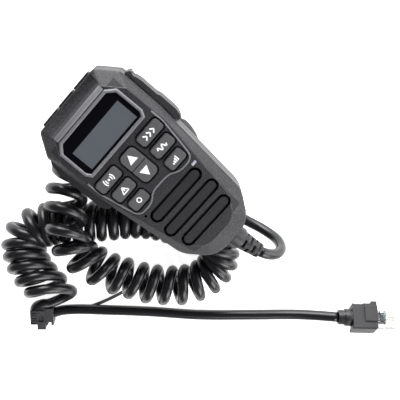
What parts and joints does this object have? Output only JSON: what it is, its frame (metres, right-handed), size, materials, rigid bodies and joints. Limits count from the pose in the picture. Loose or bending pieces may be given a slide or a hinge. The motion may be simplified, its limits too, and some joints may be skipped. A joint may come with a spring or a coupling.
{
  "type": "hand microphone",
  "caption": "Black fist microphone for a radio, with a display, keypad, slotted speaker grille, side talk lever and a curled cord with a clear modular plug.",
  "frame": {"origin": "centre of the microphone body's bounding box, without its cord", "axes": "+X to the right side of the face (socket cover side), +Y towards the top wall, +Z out of the face; the cord lies on the surface below the body, and the body rests on the curled cord"},
  "size_m": [0.1684, 0.2476, 0.0576],
  "materials": {
    "shell": "fine grained black plastic",
    "back_plastic": "fine grained black plastic",
    "bar_plastic": "satin black plastic",
    "lever_rubber": "soft black grip",
    "cover_rubber": "soft black rubber",
    "window_lens": "glossy smoked lens",
    "lcd": "grey liquid crystal cell",
    "light_guide": "milky light guide",
    "holder_plastic": "off-white plastic",
    "key_plastic": "satin dark grey plastic",
    "top_key_plastic": "satin dark grey plastic",
    "mat_rubber": "silicone rubber",
    "dome_steel": "sprung steel",
    "board": "green solder mask",
    "chip_plastic": "black moulded package",
    "cloth": "black acoustic cloth",
    "speaker_steel": "plated steel",
    "cone_paper": "black treated paper",
    "capsule_alu": "plain aluminium can",
    "led_plastic": "milky light pipe",
    "screw_steel": "plated steel",
    "socket_plastic": "black moulded plastic",
    "boot_rubber": "satin black rubber",
    "wire_pvc": "coloured insulated wire",
    "cord_jacket": "glossy black jacket",
    "coil_jacket": "glossy black curled jacket; the solid is mostly air",
    "tie_plastic": "dark grey nylon",
    "hood_plastic": "dark grey moulded plastic",
    "clear_plastic": "clear plastic",
    "contact_gold": "gold plated"
  },
  "bodies": {
    "case": {"front_shell": "shell", "back_shell": "back_plastic", "perimeter_gasket": "cover_rubber", "display_window": "window_lens", "lcd_glass": "lcd", "lcd_light_guide": "light_guide", "lcd_holder": "holder_plastic", "key_mat": "mat_rubber", "contact_domes": "dome_steel", "main_board": "board", "processor_chip": "chip_plastic", "chip_set": "chip_plastic", "top_switches": "chip_plastic", "grille_bars": "bar_plastic", "grille_cloth": "cloth", "speaker_frame": "speaker_steel", "speaker_cone": "cone_paper", "speaker_magnet": "speaker_steel", "mic_capsule": "capsule_alu", "mic_holder": "cover_rubber", "status_led": "led_plastic", "case_screws": "screw_steel", "hanger_button": "screw_steel", "hanger_screw": "screw_steel", "lever_pin": "screw_steel", "talk_switch": "chip_plastic", "jack_socket": "socket_plastic", "cover_anchor": "cover_rubber", "cord_boot": "boot_rubber", "wire_header": "holder_plastic", "wire_harness": "wire_pvc", "cord_clamp": "screw_steel", "cord_stub": "cord_jacket", "cord_lead": "cord_jacket", "coil_hidden": "coil_jacket", "coil_hump": "coil_jacket", "coil_front": "coil_jacket", "coil_under": "coil_jacket", "coil_side": "coil_jacket", "cord_tail": "cord_jacket", "tie_band": "tie_plastic", "tie_head": "tie_plastic", "tie_strap": "tie_plastic", "plug_rings": "boot_rubber", "plug_hood": "hood_plastic", "plug_body": "clear_plastic", "plug_contacts": "contact_gold"},
    "key_left_1": {"key_left_1": "key_plastic"},
    "key_left_2": {"key_left_2": "key_plastic"},
    "key_left_3": {"key_left_3": "key_plastic"},
    "key_right_1": {"key_right_1": "key_plastic"},
    "key_right_2": {"key_right_2": "key_plastic"},
    "key_right_3": {"key_right_3": "key_plastic"},
    "top_key_1": {"top_key_1": "top_key_plastic"},
    "top_key_2": {"top_key_2": "top_key_plastic"},
    "top_key_3": {"top_key_3": "top_key_plastic"},
    "rocker_key": {"rocker_key": "key_plastic"},
    "talk_lever": {"talk_lever": "lever_rubber"},
    "jack_cover": {"jack_cover": "cover_rubber"},
    "plug_latch": {"plug_latch": "clear_plastic"}
  },
  "joints": [
    {"name": "key_left_1_press", "type": "slide", "parent": "case", "child": "key_left_1", "axis": [0, 0, -1], "range_m": [0, 0.0008], "stiffness_N_per_m": 700},
    {"name": "key_left_2_press", "type": "slide", "parent": "case", "child": "key_left_2", "axis": [0, 0, -1], "range_m": [0, 0.0008], "stiffness_N_per_m": 700},
    {"name": "key_left_3_press", "type": "slide", "parent": "case", "child": "key_left_3", "axis": [0, 0, -1], "range_m": [0, 0.0008], "stiffness_N_per_m": 700},
    {"name": "key_right_1_press", "type": "slide", "parent": "case", "child": "key_right_1", "axis": [0, 0, -1], "range_m": [0, 0.0008], "stiffness_N_per_m": 700},
    {"name": "key_right_2_press", "type": "slide", "parent": "case", "child": "key_right_2", "axis": [0, 0, -1], "range_m": [0, 0.0008], "stiffness_N_per_m": 700},
    {"name": "key_right_3_press", "type": "slide", "parent": "case", "child": "key_right_3", "axis": [0, 0, -1], "range_m": [0, 0.0008], "stiffness_N_per_m": 700},
    {"name": "top_key_1_press", "type": "slide", "parent": "case", "child": "top_key_1", "axis": [0, -1, 0], "range_m": [0, 0.0008], "stiffness_N_per_m": 700},
    {"name": "top_key_2_press", "type": "slide", "parent": "case", "child": "top_key_2", "axis": [0, -1, 0], "range_m": [0, 0.0008], "stiffness_N_per_m": 700},
    {"name": "top_key_3_press", "type": "slide", "parent": "case", "child": "top_key_3", "axis": [0, -1, 0], "range_m": [0, 0.0008], "stiffness_N_per_m": 700},
    {"name": "rocker_tilt", "type": "hinge", "parent": "case", "child": "rocker_key", "pos_m": [0, 0.0084, 0.0145], "axis": [1, 0, 0], "range_deg": [-2.5, 2.5], "stiffness_Nm_per_rad": 0.12},
    {"name": "talk_press", "type": "hinge", "parent": "case", "child": "talk_lever", "pos_m": [-0.0266, 0.0415, 0.0036], "axis": [0, 0, 1], "range_deg": [0, 3.5], "stiffness_Nm_per_rad": 0.6},
    {"name": "cover_swing", "type": "hinge", "parent": "case", "child": "jack_cover", "pos_m": [0.032, 0.0412, 0.003], "axis": [0, 0, 1], "range_deg": [0, 90]},
    {"name": "latch_flex", "type": "hinge", "parent": "case", "child": "plug_latch", "pos_m": [0.02001, -0.18052, -0.02523], "axis": [-0.5775, -0.4677, 0.6691], "range_deg": [0, 12], "stiffness_Nm_per_rad": 0.05}
  ]
}
